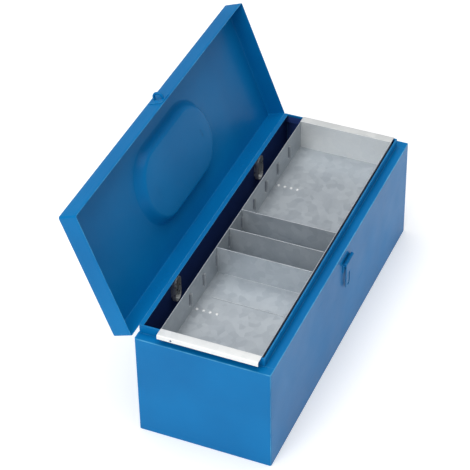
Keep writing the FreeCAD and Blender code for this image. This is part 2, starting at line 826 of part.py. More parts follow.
def build_hasp_strap():
    """Slotted strap that hangs from its pin and folds up over the staple."""
    body = new_body("hasp_strap_body")
    thick = size("hasp_sheet")
    width = size("hasp_width")
    neck = width / 4 - size("side_clearance")
    clear = hasp_knuckle + size("side_clearance")
    tip = hasp_z - size("hasp_reach")
    blank = sketch_on(body, "hasp_strap_blank", "XZ_Plane", offset=-hasp_y)
    outline(
        blank,
        [
            (hasp_x - neck, hasp_z),
            (hasp_x - neck, hasp_z - clear),
            (hasp_x - width / 2, hasp_z - clear),
            (hasp_x - width / 2, tip),
            (hasp_x + width / 2, tip),
            (hasp_x + width / 2, hasp_z - clear),
            (hasp_x + neck, hasp_z - clear),
            (hasp_x + neck, hasp_z),
        ],
    )
    strap = pad(body, "hasp_strap_pad", blank, thick, both_ways=True)
    rounded = body.newObject("PartDesign::Fillet", "hasp_strap_tip")
    ends = [
        f"Edge{n}"
        for n, edge in enumerate(strap.Shape.Edges, start=1)
        if straight_along_y(edge) and abs(edge.Vertexes[0].Z - tip.value) < 0.01
    ]
    rounded.Base = (strap, ends)
    bind(rounded, "Radius", width / 2 - 0.5)
    body.Tip = rounded
    doc.recompute()
    eye = sketch_on(body, "hasp_strap_eye", "YZ_Plane", offset=hasp_x)
    circle(eye, hasp_y, hasp_z, hasp_knuckle)
    pad(body, "hasp_strap_knuckle", eye, neck * 2, both_ways=True)
    bore = sketch_on(body, "hasp_strap_bore", "YZ_Plane", offset=hasp_x)
    circle(bore, hasp_y, hasp_z, size("hinge_pin_radius") + size("running_clearance"))
    pocket(body, "hasp_strap_bore_cut", bore, width * 2, both_ways=True)
    slot = sketch_on(body, "hasp_strap_slot", "XZ_Plane", offset=-hasp_y)
    half = size("hasp_slot_width") / 2
    low = hasp_z - slot_middle - size("hasp_slot_length") / 2
    high = hasp_z - slot_middle + size("hasp_slot_length") / 2
    left = hasp_x - half
    right = hasp_x + half
    outline(slot, [(left, low), (right, low), (right, high), (left, high)])
    pocket(body, "hasp_strap_slot_cut", slot, thick * 4, both_ways=True)
    return node(body, "hasp_strap")


# ---------------------------------------------------------------- carry handle
def build_handle_bracket(label, side):
    """Riveted foot with an upright ear and an eye for the bail's end."""
    inner = handle_x + size("handle_wire_radius") + size("side_clearance")
    outer = inner + size("handle_ear_sheet")
    half = size("handle_foot_width") / 2
    ear_radius = size("handle_height")

    def span(low, high):
        return (low * side, high * side) if side > 0 else (high * side, low * side)

    foot = box(
        f"{label}_foot",
        span(inner, inner + size("handle_foot_length")),
        (-half, half),
        (recess_floor, recess_floor + size("handle_ear_sheet")),
    )
    disc = rod_along_x(f"{label}_disc", ear_radius, span(inner, outer), ZERO, handle_z)
    stem = box(f"{label}_stem", span(inner, outer), (-ear_radius, ear_radius), (recess_floor, handle_z))
    solid = fuse(f"{label}_solid", [foot, disc, stem])
    bore_radius = size("handle_wire_radius") / 2 + size("running_clearance")
    bore = rod_along_x(f"{label}_bore", bore_radius, span(inner - 1, outer + 1), ZERO, handle_z)
    places = [p for p in handle_rivet_places if p[0].value * side > 0]
    holes = rivet_holes(label, places, (0, 0, 1), size("handle_ear_sheet") * 2)
    return node(cut(f"{label}_cut", solid, [bore, *holes]), label, LID_OPEN)


HANDLE_HANGS = (
    f"{LID_OPEN} * placement(vector(0; 0; 0); rotation(vector(1; 0; 0); Sizes.lid_open_angle - 90); "
    f"vector(0; 0; {handle_z.text}))"
)


def build_handle_bail():
    """Round steel bail whose thinner ends turn in the bracket ears."""
    body = new_body("bail")
    bend = size("handle_bend_radius")
    radius = size("handle_wire_radius")
    reach = size("handle_reach")
    path = sketch_on(body, "bail_path", "XY_Plane", offset=handle_z)
    x = handle_x.value
    y = reach.value
    r = bend.value
    right = sketch_line(path, (x, 0), (x, y - r))
    arc_right = sketch_arc(path, (x - r, y - r), r, 0, QUARTER)
    grip = sketch_line(path, (x - r, y), (r - x, y))
    arc_left = sketch_arc(path, (r - x, y - r), r, QUARTER, 2 * QUARTER)
    left = sketch_line(path, (-x, y - r), (-x, 0))
    path.addConstraint(Sketcher.Constraint("Tangent", right, 2, arc_right, 1))
    path.addConstraint(Sketcher.Constraint("Tangent", arc_right, 2, grip, 1))
    path.addConstraint(Sketcher.Constraint("Tangent", grip, 2, arc_left, 1))
    path.addConstraint(Sketcher.Constraint("Tangent", arc_left, 2, left, 1))
    fix_point(path, right, 1, handle_x, ZERO)
    fix_point(path, left, 2, -handle_x, ZERO)
    fix_point(path, arc_right, 3, handle_x - bend, reach - bend)
    fix_point(path, arc_left, 3, bend - handle_x, reach - bend)
    section = sketch_on(body, "bail_section", "XZ_Plane")
    circle(section, handle_x, handle_z, radius)
    pipe(body, "bail_pipe", section, path)
    ends = sketch_on(body, "bail_hubs", "YZ_Plane")
    circle(ends, ZERO, handle_z, radius)
    pad(body, "bail_hub_bar", ends, (handle_x + radius) * 2, both_ways=True)
    gap = sketch_on(body, "bail_gap", "YZ_Plane")
    low = handle_z - radius * 2
    high = handle_z + radius * 2
    outline(gap, [(-radius * 2, low), (radius * 2, low), (radius * 2, high), (-radius * 2, high)])
    pocket(body, "bail_gap_cut", gap, (handle_x - radius) * 2, both_ways=True)
    for side in (-1, 1):
        word = "left" if side < 0 else "right"
        stub = sketch_on(body, f"bail_stub_{word}", "YZ_Plane", offset=handle_x * side)
        circle(stub, ZERO, handle_z, radius / 2)
        length = radius + size("side_clearance") + size("handle_ear_sheet") + 1
        pad(body, f"{stub.Name}_pad", stub, length, backwards=side < 0)
    return node(body, "handle_bail", HANDLE_HANGS)


# ---------------------------------------------------------------- tray
slot_gap = size("divider_sheet") + size("divider_clearance") * 2


def slot_place(index):
    return tray_near + size("first_slot") + size("slot_pitch") * index


def build_tray_trough():
    """Floor and long walls of the tray from one sheet, with lanced lugs for the dividers."""
    body = new_body("trough")
    section = sketch_on(body, "trough_section", "YZ_Plane", offset=size("tray_shift"))
    outline(
        section,
        [
            (tray_front, tray_bottom),
            (tray_front, tray_top),
            (tray_front + tray_sheet, tray_top),
            (tray_front + tray_sheet, tray_floor),
            (tray_back - tray_sheet, tray_floor),
            (tray_back - tray_sheet, tray_top),
            (tray_back, tray_top),
            (tray_back, tray_bottom),
        ],
    )
    pad(body, "trough_pad", section, tray_length, both_ways=True)
    low = tray_floor + size("slot_rise")
    high = low + size("slot_height")
    lug = tray_sheet
    openings = sketch_on(body, "lug_windows", "XZ_Plane")
    lugs = sketch_on(body, "lug_plan", "XY_Plane", offset=low)
    for index in range(int(size("slot_count").value)):
        middle = slot_place(index)
        for side in (-1, 1):
            near = middle + (slot_gap / 2 + lug) * side
            far = near + size("slot_width") * side
            outline(openings, [(near, low), (far, low), (far, high), (near, high)])
            inner = middle + slot_gap / 2 * side
            for wall, depth in (
                (tray_front + tray_sheet, size("lug_depth")),
                (tray_back - tray_sheet, -size("lug_depth")),
            ):
                root = wall - depth / 10
                outline(lugs, [(inner, root), (near, root), (near, wall + depth), (inner, wall + depth)])
    pocket(body, "lug_window_cuts", openings, half_width * 4, both_ways=True)
    pad(body, "lug_pads", lugs, size("slot_height"))
    pips = sketch_on(body, "pip_plan", "XY_Plane", offset=tray_floor)
    pip_reach = tray_length / 2 - size("pip_from_end")
    for side in (-1, 1):
        for index in range(4):
            y = tray_back - tray_sheet - size("pip_inset") - size("pip_pitch") * index
            circle(pips, size("tray_shift") + pip_reach * side, y, size("pip_radius"))
    pad(body, "pip_pads", pips, size("pip_height"))
    return node(body, "tray_trough")


def build_tray_end(label, side):
    """End wall of the tray with the rolled rim that hangs over the box's rim."""
    middle = size("tray_shift")
    inner = middle + tray_length / 2 * side
    wall = inner + tray_sheet * side
    outer = wall + size("tray_rim_width") * side
    low = tray_top - size("tray_rim_drop") + tray_sheet
    body = new_body(f"{label}_body")
    section = sketch_on(body, f"{label}_section", "XZ_Plane", offset=-tray_back)
    outline(
        section,
        [
            (inner, tray_bottom),
            (inner, tray_top + tray_sheet),
            (outer, tray_top + tray_sheet),
            (outer, low),
            (outer - tray_sheet * side, low),
            (outer - tray_sheet * side, tray_top),
            (wall, tray_top),
            (wall, tray_bottom),
        ],
    )
    rim = pad(body, f"{label}_pad", section, tray_back - tray_front)
    rounded = body.newObject("PartDesign::Fillet", f"{label}_roll")
    roll = [
        f"Edge{n}"
        for n, edge in enumerate(rim.Shape.Edges, start=1)
        if edge_at(x=outer.value, z=(tray_top + tray_sheet).value)(edge)
    ]
    rounded.Base = (rim, roll)
    bind(rounded, "Radius", tray_sheet * 2)
    body.Tip = rounded
    doc.recompute()
    hole = sketch_on(body, f"{label}_hole", "YZ_Plane", offset=outer)
    hole_y = tray_back - size("tray_rim_width") * 1.5
    circle(hole, hole_y, low + size("tray_rim_drop") / 2.5, size("tray_rim_hole_radius"))
    pocket(body, f"{label}_hole_cut", hole, tray_sheet * 4, both_ways=True)
    return node(body, label)


def build_divider(label, slot, foot):
    """Sheet divider that stands between its lugs on an L-shaped foot."""
    thick = size("divider_sheet")
    middle = slot_place(slot)
    clear = size("divider_clearance")
    low = tray_floor + clear
    front = tray_front + tray_sheet + clear
    back = tray_back - tray_sheet - clear
    inset = size("divider_foot_inset")
    near = middle - thick / 2
    plate = box(f"{label}_plate", (near, near + thick), (front, back), (low, tray_top - clear))
    foot_y = (front + inset, back - inset)
    flange = box(f"{label}_foot", (middle - foot, middle), foot_y, (low, low + thick))
    return node(fuse(f"{label}_all", [plate, flange]), label)


# ---------------------------------------------------------------- assembly
build_wrap()
build_end_panel("end_panel_left", -1)
build_end_panel("end_panel_right", 1)
build_lid()

for side, word in ((-1, "left"), (1, "right")):
    build_hinge_strap(f"hinge_strap_{word}", side)
    build_hinge_leaf(f"hinge_leaf_{word}", side)
    build_hinge_pin(f"hinge_pin_{word}", side)
    build_handle_bracket(f"handle_bracket_{word}", side)
build_staple_plate()
build_staple()
build_hasp_base()
build_hasp_pin()
build_hasp_strap()
build_handle_bail()
strap_grip = strap_wall - strap_face + sheet
outward = (0, -1, 0)
rivet_group("hinge_strap_rivets", strap_rivet_places, outward, strap_grip)
leaf_grip = lid_sheet + leaf_sheet
rivet_group("hinge_leaf_rivets", leaf_rivet_places, outward, leaf_grip, LID_OPEN, "low_head_height")
hasp_grip = size("hasp_sheet") + sheet
rivet_group("hasp_rivets", hasp_rivet_places, outward, hasp_grip, head="low_head_height")
rivet_group("staple_rivets", staple_rivet_places, outward, leaf_sheet + lid_sheet, LID_OPEN)
ear_grip = size("handle_ear_sheet") + lid_sheet
rivet_group("handle_rivets", handle_rivet_places, (0, 0, 1), ear_grip, LID_OPEN)

build_tray_trough()
build_tray_end("tray_end_left", -1)
build_tray_end("tray_end_right", 1)
build_divider("divider_left", 2, size("divider_foot_long"))
build_divider("divider_middle", 3, size("divider_foot_short"))
build_divider("divider_right", 4, size("divider_foot_short"))

# ---------------------------------------------------------------- checks and files
doc.recompute()
for obj in doc.Objects:
    if "Invalid" in obj.State or "Error" in obj.State:
        raise RuntimeError(f"{obj.Name} failed: {obj.State}")
for obj in NODES:
    shape = obj.Shape
    if shape.isNull() or not shape.isValid() or shape.Volume <= 0:
        raise RuntimeError(f"{obj.Label} has no valid shape")

os.makedirs("parts", exist_ok=True)
for obj in NODES:
    obj.Shape.exportStep(f"parts/{obj.Label}.step")
    print(f"{obj.Label:24s} {obj.Shape.Volume / 1000:9.2f} cm3, {len(obj.Shape.Solids)} solid(s)")
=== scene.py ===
"""Blue sheet steel toolbox standing open, with a galvanised tray hung in it and three loose dividers."""
import json
import math

import bmesh
import bpy
from mathutils import Matrix, Vector


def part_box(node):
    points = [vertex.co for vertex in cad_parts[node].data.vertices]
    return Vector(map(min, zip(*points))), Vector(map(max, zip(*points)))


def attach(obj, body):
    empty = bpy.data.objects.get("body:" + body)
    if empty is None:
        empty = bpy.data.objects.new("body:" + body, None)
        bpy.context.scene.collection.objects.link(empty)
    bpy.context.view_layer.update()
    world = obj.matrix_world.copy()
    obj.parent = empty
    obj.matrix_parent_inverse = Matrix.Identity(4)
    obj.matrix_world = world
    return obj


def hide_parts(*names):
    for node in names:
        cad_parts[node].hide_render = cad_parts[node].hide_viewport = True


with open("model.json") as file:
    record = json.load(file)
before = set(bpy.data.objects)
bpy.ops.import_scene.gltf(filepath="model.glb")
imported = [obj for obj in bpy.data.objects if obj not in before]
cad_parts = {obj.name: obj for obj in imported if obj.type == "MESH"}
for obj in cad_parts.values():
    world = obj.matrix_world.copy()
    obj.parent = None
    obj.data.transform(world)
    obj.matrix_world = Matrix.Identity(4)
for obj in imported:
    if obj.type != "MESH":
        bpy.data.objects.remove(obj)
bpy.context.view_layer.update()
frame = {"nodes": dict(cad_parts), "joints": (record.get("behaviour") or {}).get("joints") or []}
MM = 0.001

# ---------------------------------------------------------------- box
# The box is one folded sheet of 1 mm steel, front wall, floor and rear wall, with two pressed end
# panels spot welded to it. The rim stands up inside a shoulder all round. It is sprayed with gloss
# blue enamel, with painted shade darkening its inside and a painted highlight along its outer folds.
EASED = 1
BOX_EDGE = 0.28 * MM
PANEL_EDGE = 0.14 * MM
FOLD_BAND = 1.1 * MM
RIM_MIDDLE = 6.0 * MM
RIM_HALF_WIDTH = 91.4 * MM
HALF_LENGTH = 280 * MM
HALF_WIDTH = 100 * MM
SHOULDER = 170 * MM
RIM_TOP = 184 * MM
RIM_X = 266 * MM
SHEET = 1 * MM
ENAMEL_BLUE = (0.001, 0.180, 0.46)
ENAMEL_DEEP = (0.001, 0.146, 0.39)
ENAMEL_PAINTED_SHADE = (0.030, 0.062, 0.23)
RUBBED_AND_HIGHLIGHT_BLUE = (0.10, 0.42, 0.68)


class Wire:
    """One output of a finish's nodes. Sums on it add Math nodes."""

    def __init__(self, finish, end):
        self.finish = finish
        self.end = end

    def sum(self, operation, *values):
        sockets = dict(enumerate(values))
        return self.finish.add("ShaderNodeMath", {"operation": operation}, sockets)

    def __add__(self, other):
        return self.sum("ADD", self, other)

    def __sub__(self, other):
        return self.sum("SUBTRACT", self, other)

    def __mul__(self, other):
        return self.sum("MULTIPLY", self, other)

    def __lt__(self, other):
        return self.sum("LESS_THAN", self, other)

    def __gt__(self, other):
        return self.sum("GREATER_THAN", self, other)

    def __abs__(self):
        return self.sum("ABSOLUTE", self)

    __radd__ = __add__
    __rmul__ = __mul__


class Finish:
    """A material under its Principled shader, mixed from places on the object."""

    def __init__(self, name, **constants):
        self.material = bpy.data.materials.new(name)
        self.material.use_nodes = True
        self.tree = self.material.node_tree
        self.shader = self.tree.nodes["Principled BSDF"]
        for key, value in constants.items():
            self.shader.inputs[key.replace("_", " ")].default_value = value
        self.place = self.add("ShaderNodeTexCoord", {}, {}, "Object")

    def add(self, kind, settings, sockets, out=0):
        node = self.tree.nodes.new(kind)
        for key, value in settings.items():
            if key == "stops":
                self.set_stops(node.color_ramp.elements, value)
            else:
                setattr(node, key, value)
        for key, value in sockets.items():
            if isinstance(value, Wire):
                self.tree.links.new(value.end, node.inputs[key])
            else:
                node.inputs[key].default_value = value
        return Wire(self, node.outputs[out])

    def set_stops(self, elements, stops):
        elements[0].position, elements[-1].position = stops[0][0], stops[-1][0]
        elements[0].color, elements[-1].color = (*stops[0][1], 1), (*stops[-1][1], 1)
        for at, colour in stops[1:-1]:
            elements.new(at).color = (*colour, 1)

    def noise(self, scale, detail=3.0, stretch=(1, 1, 1)):
        """Cloudy pattern from 0 to 1; scale is in clouds to the metre."""
        mapped = self.add("ShaderNodeMapping", {}, {"Vector": self.place, "Scale": stretch})
        return self.add("ShaderNodeTexNoise", {}, {"Vector": mapped, "Scale": scale, "Detail": detail})

    def band(self, value, low, high):
        """Stretches a pattern so that low reads 0 and high reads 1."""
        sockets = {"Value": value, "From Min": low, "From Max": high}
        return self.add("ShaderNodeMapRange", {}, sockets)

    def mix(self, share, first, second):
        first = first if isinstance(first, Wire) else (*first, 1)
        second = second if isinstance(second, Wire) else (*second, 1)
        return self.add("ShaderNodeMix", {"data_type": "RGBA"}, {0: share, 6: first, 7: second}, 2)

    def bump(self, height, distance, strength=1.0):
        sockets = {"Height": height, "Distance": distance, "Strength": strength}
        return self.add("ShaderNodeBump", {}, sockets)

    def edges(self):
        """1 on the eased edges and folds of the sheet, 0 on its flats."""
        return self.add("ShaderNodeAttribute", {"attribute_name": "eased_edge"}, {}, "Fac")

    def feed_shader(self, **sockets):
        """Joins patterns to the shader's own sockets."""
        for key, value in sockets.items():
            self.tree.links.new(value.end, self.shader.inputs[key.replace("_", " ")])
        return self.material


def enamel(name, shade_inside_and_lit_folds):
    """Gloss enamel over steel: orange peel, faint clouding, pale edges of rub marks and painted highlight,
    and, when asked, painted shade inside and a painted highlight on the folds.
    """
    paint = Finish(name, Coat_Weight=0.03, Coat_Roughness=0.08, Specular_IOR_Level=0.10)
    clouds = paint.band(paint.noise(7.0, 4.0), 0.35, 0.7)
    colour = paint.mix(clouds, ENAMEL_DEEP, ENAMEL_BLUE)
    if shade_inside_and_lit_folds:
        # Painted shade: the inside of the box is coloured a darker navy.
        x, y, z = (paint.add("ShaderNodeSeparateXYZ", {}, {0: paint.place}, out) for out in "XYZ")
        below = (abs(x) < HALF_LENGTH - SHEET * 0.6) * (abs(y) < HALF_WIDTH - SHEET * 0.6)
        below = below * (z < SHOULDER - SHEET * 0.6)
        between = (abs(x) < RIM_X - SHEET * 0.6) * (abs(y - RIM_MIDDLE) < RIM_HALF_WIDTH)
        between = between * (z < RIM_TOP - 3 * MM)
        inside = below.sum("MAXIMUM", below, between)
        colour = paint.mix(inside, colour, ENAMEL_PAINTED_SHADE)
        # Painted highlight: a pale band along the outer folds, where the light catches them.
        at_end = abs(x) > HALF_LENGTH - FOLD_BAND
        at_side = abs(y) > HALF_WIDTH - FOLD_BAND
        at_top = z > SHOULDER - FOLD_BAND
        on_fold = (at_end * at_side + at_end * at_top + at_side * at_top) > 0.5
        painted_fold_highlight = on_fold * paint.band(paint.noise(40.0, 3.0), 0.25, 0.7)
        colour = paint.mix(painted_fold_highlight * 0.85, colour, RUBBED_AND_HIGHLIGHT_BLUE)
    # Pale eased edges: partly rub marks, partly a painted highlight.
    rubbed_and_highlight = paint.edges() * paint.band(paint.noise(60.0, 5.0), 0.30, 0.60)
    colour = paint.mix(rubbed_and_highlight * 0.75, colour, RUBBED_AND_HIGHLIGHT_BLUE)
    peel = paint.noise(420.0, 2.0)
    ripple = paint.noise(26.0, 2.0)
    height = peel * 0.35 + ripple
    roughness = paint.band(paint.noise(16.0, 5.0), 0.2, 0.8) * 0.12 + 0.30
    scuffs = paint.band(paint.noise(300.0, 2.0, (0.06, 1, 1)), 0.66, 0.72)
    roughness = roughness + scuffs * 0.12
    return paint.feed_shader(Base_Color=colour, Roughness=roughness, Normal=paint.bump(height, 0.12 * MM, 0.55))


def finished(obj, with_edges=True):
    """Leaves the plain mesh that the modifiers make, and notes which of its faces are eased edges."""
    material = obj.data.materials[0]
    evaluated = obj.evaluated_get(bpy.context.evaluated_depsgraph_get())
    mesh = bpy.data.meshes.new_from_object(evaluated)
    obj.modifiers.clear()
    obj.data = mesh
    on_edge = [float(with_edges and face.material_index == EASED) for face in mesh.polygons]
    mesh.attributes.new("eased_edge", "FLOAT", "FACE").data.foreach_set("value", on_edge)
    mesh.polygons.foreach_set("material_index", [0] * len(mesh.polygons))
    mesh.materials.clear()
    mesh.materials.append(material)
    return obj


def show(name, mesh, material, body):
    """Puts a finished mesh on show as a piece that rides on a body of the frame."""
    for _ in (0, EASED):
        mesh.materials.append(material)
    piece = bpy.data.objects.new(name, mesh)
    bpy.context.scene.collection.objects.link(piece)
    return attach(piece, body)


def smooth(mesh, angle=35):
    mesh.polygons.foreach_set("use_smooth", [True] * len(mesh.polygons))
    mesh.set_sharp_from_angle(angle=math.radians(angle))
    return mesh


def eased(name, node, material, body, edge, joined=0.002 * MM):
    """A sheet part with eased edges and folds, after points closer than joined are made one."""
    shape = bmesh.new()
    shape.from_mesh(frame["nodes"][node].data)
    bmesh.ops.remove_doubles(shape, verts=shape.verts, dist=joined)
    bmesh.ops.dissolve_limit(shape, angle_limit=math.radians(0.4), verts=shape.verts, edges=shape.edges)
    mesh = bpy.data.meshes.new(name)
    shape.to_mesh(mesh)
    shape.free()
    custom = mesh.attributes.get("custom_normal")
    if custom:
        mesh.attributes.remove(custom)
    smooth(mesh)
    piece = show(name, mesh, material, body)
    bevel = piece.modifiers.new("eased", "BEVEL")
    bevel.harden_normals = True
    bevel.width = edge
    bevel.segments = 2
    bevel.limit_method = "ANGLE"
    bevel.angle_limit = math.radians(40)
    bevel.use_clamp_overlap = False
    bevel.material = EASED
    finished(piece)
    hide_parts(node)
    return piece


box_paint = enamel("box_enamel", shade_inside_and_lit_folds=True)
WRAP_STEP = 0.21 * MM
eased("body_wrap_painted", "body_wrap", box_paint, "toolbox_body", BOX_EDGE, WRAP_STEP)
for node in ("end_panel_left", "end_panel_right"):
    eased(f"{node}_painted", node, box_paint, "toolbox_body", PANEL_EDGE)

# ---------------------------------------------------------------- lid
# The lid is a pan pressed from one sheet, with a soft-sided recess sunk in its top for the carry
# handle, which shows as a raised boss inside. It carries the same blue enamel on both sides.
LID_LENGTH = 560 * MM
LID_WIDTH = 200 * MM
LID_BOTTOM = 170.4 * MM
LID_TOP = 200 * MM
LID_RADIUS = 2.5 * MM
CORNER_RADIUS = 3 * MM
RECESS_LENGTH = 228 * MM
RECESS_WIDTH = 128 * MM
RECESS_DEPTH = 13 * MM
RECESS_SLOPE = 15 * MM
RECESS_FLOOR_INSETS = (34 * MM, 46 * MM, 56 * MM, 62 * MM)
SKIRT_RINGS = 4
FILLET_RINGS = 5
SLOPE_RINGS = 18
CORNER_STEPS = 6
SIDE_STEPS = 30

lid_hinge = next(j for j in frame["joints"] if j["name"] == "lid_hinge")
hinge_at = Matrix.Translation(lid_hinge["pos_m"])
open_turn = Matrix.Rotation(-math.radians(lid_hinge["range_deg"][1]), 4, lid_hinge["axis"])
LID_OPEN = hinge_at @ open_turn @ hinge_at.inverted()


def rounded_rectangle(half_x, half_y, radius):
    """Points round a rectangle with round corners, counter-clockwise from the right side."""
    points = []
    quarter = math.pi / 2
    for corner, (sx, sy) in enumerate(((1, 1), (-1, 1), (-1, -1), (1, -1))):
        centre = Vector((sx * (half_x - radius), sy * (half_y - radius)))
        for step in range(CORNER_STEPS + 1):
            angle = quarter * (corner + step / CORNER_STEPS)
            points.append(centre + radius * Vector((math.cos(angle), math.sin(angle))))
        following = rectangle_corner(corner + 1, half_x, half_y, radius)
        last = points[-1]
        points += [last.lerp(following, step / SIDE_STEPS) for step in range(1, SIDE_STEPS)]
    return points


def rectangle_corner(corner, half_x, half_y, radius):
    """Where the next round corner starts."""
    sx, sy = ((1, 1), (-1, 1), (-1, -1), (1, -1))[corner % 4]
    angle = math.pi / 2 * (corner % 4)
    centre = Vector((sx * (half_x - radius), sy * (half_y - radius)))
    return centre + radius * Vector((math.cos(angle), math.sin(angle)))


def stadium_point(towards, inset):
    """The point of the recess outline, moved inwards by inset, that lies towards a point."""
    radius = RECESS_WIDTH / 2 - inset
    reach = RECESS_LENGTH / 2 - RECESS_WIDTH / 2
    full = RECESS_WIDTH / 2
    along = max(-reach, min(reach, towards.x * reach / (reach + full)))
    away = Vector((towards.x * (reach + full) / (LID_LENGTH / 2), towards.y * full / (LID_WIDTH / 2)))
    direction = (away - Vector((along, 0))).normalized()
    return Vector((along, 0)) + direction * radius


def lid_mesh():
    rings = []
    for step in range(SKIRT_RINGS + 1):
        z = LID_BOTTOM + (LID_TOP - LID_RADIUS - LID_BOTTOM) * step / SKIRT_RINGS
        outline = rounded_rectangle(LID_LENGTH / 2, LID_WIDTH / 2, CORNER_RADIUS)
        rings.append([(p.x, p.y, z) for p in outline])
    for step in range(1, FILLET_RINGS + 1):
        angle = math.pi / 2 * step / FILLET_RINGS
        inset = LID_RADIUS * (1 - math.cos(angle))
        z = LID_TOP - LID_RADIUS * (1 - math.sin(angle))
        outline = rounded_rectangle(LID_LENGTH / 2 - inset, LID_WIDTH / 2 - inset, CORNER_RADIUS)
        rings.append([(p.x, p.y, z) for p in outline])
    rim = [Vector((x, y)) for x, y, z in rings[-1]]
    for step in (0.35, 0.7):
        rings.append([(*p.lerp(stadium_point(p, 0.0), step), LID_TOP) for p in rim])
    for step in range(SLOPE_RINGS + 1):
        share = step / SLOPE_RINGS
        sunk = RECESS_DEPTH * share * share * (3 - 2 * share)
        inset = RECESS_SLOPE * share
        rings.append([(*stadium_point(p, inset), LID_TOP - sunk) for p in rim])
    for inset in RECESS_FLOOR_INSETS:
        rings.append([(*stadium_point(p, inset), LID_TOP - RECESS_DEPTH) for p in rim])
    shape = bmesh.new()
    rows = [[shape.verts.new(LID_OPEN @ Vector(p)) for p in ring] for ring in rings]
    for low, high in zip(rows, rows[1:]):
        for n in range(len(low)):
            following = (n + 1) % len(low)
            shape.faces.new((low[n], low[following], high[following], high[n]))
    shape.faces.new(rows[-1])
    bmesh.ops.remove_doubles(shape, verts=shape.verts, dist=0.02 * MM)
    bmesh.ops.recalc_face_normals(shape, faces=shape.faces)
    mesh = bpy.data.meshes.new("lid_pressing")
    shape.to_mesh(mesh)
    shape.free()
    return mesh


lid_paint = enamel("lid_enamel", shade_inside_and_lit_folds=False)
lid = show("lid_pressing", lid_mesh(), lid_paint, "lid")
wall = lid.modifiers.new("wall", "SOLIDIFY")
wall.thickness = SHEET
wall.offset = -1
wall.use_even_offset = True
easing = lid.modifiers.new("eased", "BEVEL")
easing.width = 0.3 * MM
easing.segments = 2
easing.limit_method = "ANGLE"
easing.angle_limit = math.radians(60)
easing.use_clamp_overlap = False
easing.material = EASED
finished(lid)
smooth(lid.data, 50)
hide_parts("lid_shell")

# ---------------------------------------------------------------- hinges
# Each hinge is a zinc plated strap riveted inside the rear wall, a leaf of the same plate riveted
# to the lid, and a steel pin through their eyes. The plate is dull; its pale edges are rub marks and a painted
# highlight.
ZINC = (0.66, 0.68, 0.68)
ZINC_DULL = (0.46, 0.48, 0.50)


def zinc(name):
    """Bright zinc plate: cloudy passivation, fine scratches, and pale edges of rub marks and painted
    highlight.
    """
    plate = Finish(name, Metallic=0.7)
    clouds = plate.band(plate.noise(120.0, 4.0), 0.3, 0.7)
    tone = plate.mix(clouds, ZINC_DULL, ZINC)
    tint = plate.band(plate.noise(45.0, 2.0), 0.5, 0.8)
    tone = plate.mix(tint * 0.25, tone, (0.62, 0.58, 0.40))
    # Pale eased edges: partly rub marks, partly a painted highlight.
    tone = plate.mix(plate.edges() * 0.6, tone, (0.86, 0.87, 0.86))
    scratches = plate.noise(900.0, 2.0, (0.2, 1, 1))
    roughness = clouds * 0.16 + 0.24
    return plate.feed_shader(Base_Color=tone, Roughness=roughness, Normal=plate.bump(scratches, 0.03 * MM, 0.5))


fitting_zinc = zinc("fitting_zinc")
for side in ("left", "right"):
    strap = f"hinge_strap_{side}"
    leaf = f"hinge_leaf_{side}"
    eased(f"{strap}_pressed", strap, fitting_zinc, "toolbox_body", 0.12 * MM)
    eased(f"{leaf}_pressed", leaf, fitting_zinc, "lid", 0.22 * MM)


def coat(names, material):
    """Gives plain turned or headed parts of the frame their finish."""
    for name in names:
        mesh = frame["nodes"][name].data
        mesh.materials.clear()
        mesh.materials.append(material)


coat(("hinge_pin_left", "hinge_pin_right", "hinge_strap_rivets"), fitting_zinc)
coat(("hinge_leaf_rivets",), lid_paint)  # set before the lid was sprayed

# ---------------------------------------------------------------- hasp and staple
# A slotted strap hangs on a pin from a small riveted plate on the front wall, and folds up over a
# wire staple on the lid, where a padlock goes. They are sprayed blue with the box.
hasp_paint = enamel("hasp_enamel", shade_inside_and_lit_folds=False)
for node, body in (
    ("hasp_base", "toolbox_body"),
    ("hasp_strap", "hasp"),
    ("lid_staple_plate", "lid"),
):
    eased(f"{node}_pressed", node, hasp_paint, body, 0.25 * MM)
coat(("hasp_pin", "hasp_rivets", "lid_staple", "staple_rivets"), hasp_paint)

# ---------------------------------------------------------------- carry handle
# The bail is round steel wire, bent square and bright plated, whose thinner ends turn in two ears
# riveted into the lid's recess. It hangs by its own weight when the lid stands open.
def bright_plate(name):
    """Smooth bright plate with faint wiping marks and finger haze."""
    plate = Finish(name, Metallic=1.0)
    haze = plate.band(plate.noise(35.0, 4.0), 0.35, 0.75)
    tone = plate.mix(haze, (0.72, 0.73, 0.75), (0.60, 0.61, 0.63))
    marks = plate.noise(700.0, 2.0, (0.1, 1, 1))
    return plate.feed_shader(
        Base_Color=tone, Roughness=haze * 0.16 + 0.12, Normal=plate.bump(marks, 0.02 * MM, 0.3)
    )


coat(("handle_bail",), bright_plate("handle_plate"))
for side in ("left", "right"):
    bracket = f"handle_bracket_{side}"
    eased(f"{bracket}_pressed", bracket, fitting_zinc, "lid", 0.25 * MM)
coat(("handle_rivets",), lid_paint)

# ---------------------------------------------------------------- tray
# The tray is folded from thin galvanised sheet, with end walls whose rolled rims hang on the box.
# Pairs of lugs are lanced from its long walls to hold the dividers. The zinc shows its spangle.
GALVANISED_LIGHT = (0.54, 0.58, 0.61)
GALVANISED_DARK = (0.36, 0.40, 0.44)
SPANGLE = 95.0


